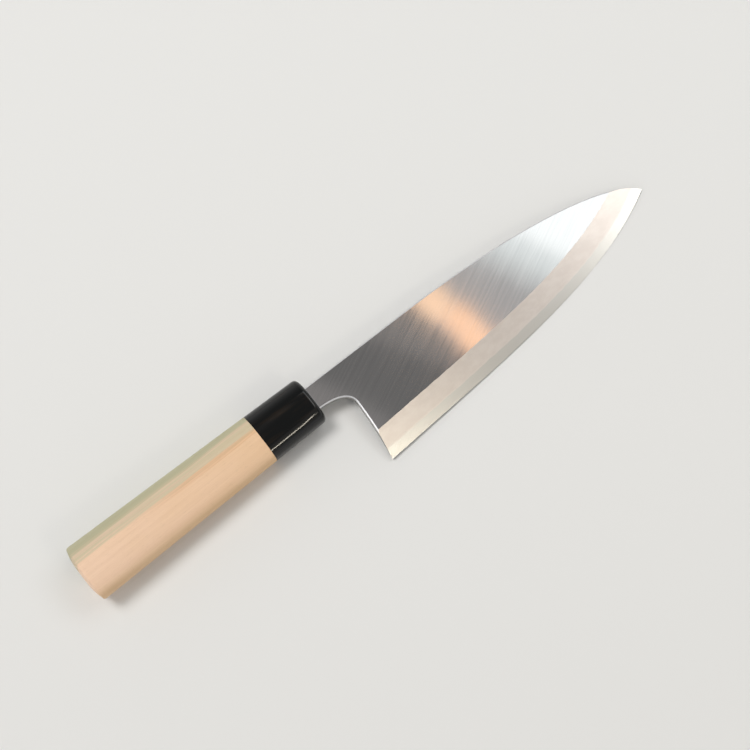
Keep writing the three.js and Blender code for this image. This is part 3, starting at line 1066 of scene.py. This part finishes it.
    def _make_seal(self) -> bmesh.types.BMesh:
        """The resin plug round the neck.

        Returns:
            The shape.
        """
        shape = bmesh.new()
        back, margin = self.fit - self.seal_depth, self.seal_margin - self.fit
        stops = [
            self._neck(back, margin),
            self._neck(-self.seal_sink, margin),
            self._neck(-self.seal_sink, self.fit),
            self._neck(back, self.fit),
        ]
        start = self._block(shape, stops[0])
        self._ring(shape, start, self._run(shape, start, stops, self.neck_middle))
        return self._complete(shape, self.seal_crisp)

    def build(self) -> None:
        """Builds the grip, the ferrule and the seal."""
        self.grip.settle(self._make_grip(), [self.wood.make(self.placement)])
        self.ferrule.settle(self._make_ferrule(), [self.horn.make(self.placement)])
        self.seal.settle(self._make_seal(), [self.resin.make(self.placement)])


@dataclass(frozen=True)
class SoftPanel:
    """A soft lamp: where it hangs, how large it is and how bright its face is."""

    name: str
    place: Place
    size: tuple[float, float]
    radiance: float
    color: Color = (1.0, 1.0, 1.0)
    turn: float = 0.0  # degrees about the direction it shines in
    aim: Optional[Place] = None  # straight down where none is given

    @classmethod
    def wash(
        cls, name: str, height: float, edge: float, radiance: float, turn: float, color: Color
    ) -> "SoftPanel":
        """A wide panel overhead on the tip's side, whose near edge the flat side mirrors.

        Args:
            name: Name of the lamp.
            height: How high it hangs; panels that overlap hang at different heights.
            edge: Where its near edge lies, along the frame's x.
            radiance: How bright its face is.
            turn: Degrees that the panel is turned.
            color: Its colour.

        Returns:
            The panel.
        """
        width, length = 0.8, 1.2
        side = math.radians(turn)
        place = (edge + width / 2.0 * math.cos(side), width / 2.0 * math.sin(side), height)
        return cls(name, place, (width, length), radiance, color, turn)

    def hang(self) -> None:
        """Adds the lamp."""
        lamp = bpy.data.lights.new(self.name, "AREA")
        lamp.shape = "RECTANGLE"
        lamp.size, lamp.size_y = self.size
        lamp.energy = self.radiance * math.pi * self.size[0] * self.size[1]
        lamp.color = self.color
        holder = bpy.data.objects.new(self.name, lamp)
        holder.location = self.place
        shine = Vector(self.aim) - Vector(self.place) if self.aim else Vector((0.0, 0.0, -1.0))
        facing = shine.to_track_quat("-Z", "Y").to_matrix()
        holder.rotation_euler = (facing @ Matrix.Rotation(math.radians(self.turn), 3, "Z")).to_euler()
        holder.visible_camera = False
        bpy.context.scene.collection.objects.link(holder)


COOL: Color = (0.84, 0.98, 1.0)
# The key light, the panels that the flat side mirrors, those that the bevel mirrors, and one at the butt
LAMPS: tuple[SoftPanel, ...] = (
    SoftPanel("key", (-0.5, 0.75, 1.7), (0.7, 0.7), 12.0, (1.0, 0.98, 0.95), aim=(0.0, 0.0, 0.0)),
    SoftPanel.wash("middle_wash", 1.2, 0.42, 0.41, 10.0, (1.0, 0.98, 0.98)),
    SoftPanel.wash("tip_wash_1", 1.21, 0.562, 0.33, 25.0, COOL),
    SoftPanel.wash("tip_wash_2", 1.22, 0.595, 0.36, 25.0, COOL),
    SoftPanel.wash("tip_wash_3", 1.23, 0.645, 0.60, 25.0, (0.97, 0.98, 1.0)),
    SoftPanel("warm_strip", (0.451, -0.104, 1.19), (0.043, 0.292), 1.35, (1.0, 0.42, 0.08), 4.0),
    SoftPanel("warm_glow", (0.412, 0.171, 1.185), (0.045, 0.258), 1.3, (1.0, 0.52, 0.18), 8.0),
    SoftPanel("neck_wash", (0.12, 0.06, 1.175), (0.2, 0.3), 0.14, (1.0, 0.92, 0.9), 25.0),
    SoftPanel("heel_fringe", (0.385, 0.05, 1.18), (0.08, 0.3), 0.13, (1.0, 0.9, 0.86), 32.0),
    SoftPanel("bevel_panel", (0.55, -0.75, 1.17), (0.9, 0.6), 0.22, (1.0, 0.89, 0.81), 42.0),
    SoftPanel("bevel_strip", (0.245, -1.27, 1.2), (0.56, 0.08), 24.0, (1.0, 0.92, 0.77), 56.5),
    SoftPanel("bevel_tip", (1.06, -0.3, 1.16), (0.36, 0.4), 2.4, (1.0, 0.9, 0.83)),
    SoftPanel("butt_panel", (-1.35, 0.3, 0.3), (0.8, 0.4), 1.6, aim=(0.0, 0.0, 0.0)),
)


@dataclass
class Studio:
    """The pale floor, the soft light and the camera."""

    placement: Placement
    lamps: Sequence[SoftPanel] = LAMPS
    floor_size: float = 40.0
    floor_color: Color = (0.80, 0.80, 0.79)
    floor_roughness: float = 0.9
    floor_specular: float = 0.1
    fade: Span = (380.0, 1300.0)  # where the floor turns into the wall's light, in millimetres
    wall: float = 0.7  # radiance of the walls
    ceiling: float = 0.215  # and of the ceiling
    cove: Span = (0.25, 0.65)  # where the walls turn into the ceiling, as the height of a direction
    azimuth: float = -39.26
    elevation: float = 74.05
    distance: float = 0.6077
    target: Place = (-0.00018, 0.00749, 0.0)
    lens: float = 62.4
    clip_start: float = 0.01

    def _floor(self) -> None:
        """Adds the floor."""
        shape = bmesh.new()
        bmesh.ops.create_grid(shape, x_segments=1, y_segments=1, size=self.floor_size / 2.0)
        mesh = bpy.data.meshes.new("floor")
        shape.to_mesh(mesh)
        shape.free()
        graph = Graph("floor", self.placement)
        graph.feed(
            Base_Color=self.floor_color,
            Roughness=self.floor_roughness,
            Specular_IOR_Level=self.floor_specular,
        )
        graph.fade(graph.along.length_with(graph.across).between(*self.fade), self.wall)
        mesh.materials.append(graph.material)
        floor = bpy.data.objects.new("floor", mesh)
        bpy.context.scene.collection.objects.link(floor)

    def _surround(self) -> None:
        """Adds pale walls below and a darker ceiling above, as light without a source."""
        world = bpy.data.worlds.new("studio")
        world.use_nodes = True
        tree = ShaderTree(world.node_tree)
        place = tree.node("ShaderNodeTexCoord", {}, {}).outputs["Generated"]
        height = tree.value("ShaderNodeSeparateXYZ", {}, {0: place}, "Z")
        heights = {"From Min": self.cove[0], "From Max": self.cove[1]}
        lights = {"To Min": self.wall, "To Max": self.ceiling}
        light = tree.value("ShaderNodeMapRange", {}, {"Value": height, **heights, **lights})
        shine = tree.node("ShaderNodeBackground", {}, {"Color": light})
        tree.node("ShaderNodeOutputWorld", {}, {"Surface": shine.outputs[0]})
        bpy.context.scene.world = world

    def _camera(self) -> None:
        """Adds the camera at the photograph's viewing angle."""
        azimuth, elevation = math.radians(self.azimuth), math.radians(self.elevation)
        level = math.cos(elevation)
        back = Vector((math.sin(azimuth) * level, -math.cos(azimuth) * level, math.sin(elevation)))
        data = bpy.data.cameras.new("camera")
        data.lens = self.lens
        data.clip_start = self.clip_start
        camera = bpy.data.objects.new("camera", data)
        camera.location = Vector(self.target) + back * self.distance
        camera.rotation_euler = (-back).to_track_quat("-Z", "Y").to_euler()
        bpy.context.scene.collection.objects.link(camera)
        bpy.context.scene.camera = camera

    def set_up(self) -> None:
        """Adds everything round the knife."""
        bpy.context.scene.view_settings.view_transform = "Standard"
        self._camera()
        self._floor()
        self._surround()
        for lamp in self.lamps:
            lamp.hang()


def main() -> None:
    """Builds the studio and the knife."""
    logging.basicConfig(level=logging.INFO, format="%(message)s")
    placement = Placement(frame["record"])
    Studio(placement).set_up()
    Blade(placement).build()
    Handle(placement).build()


if __name__ == "__main__":
    main()
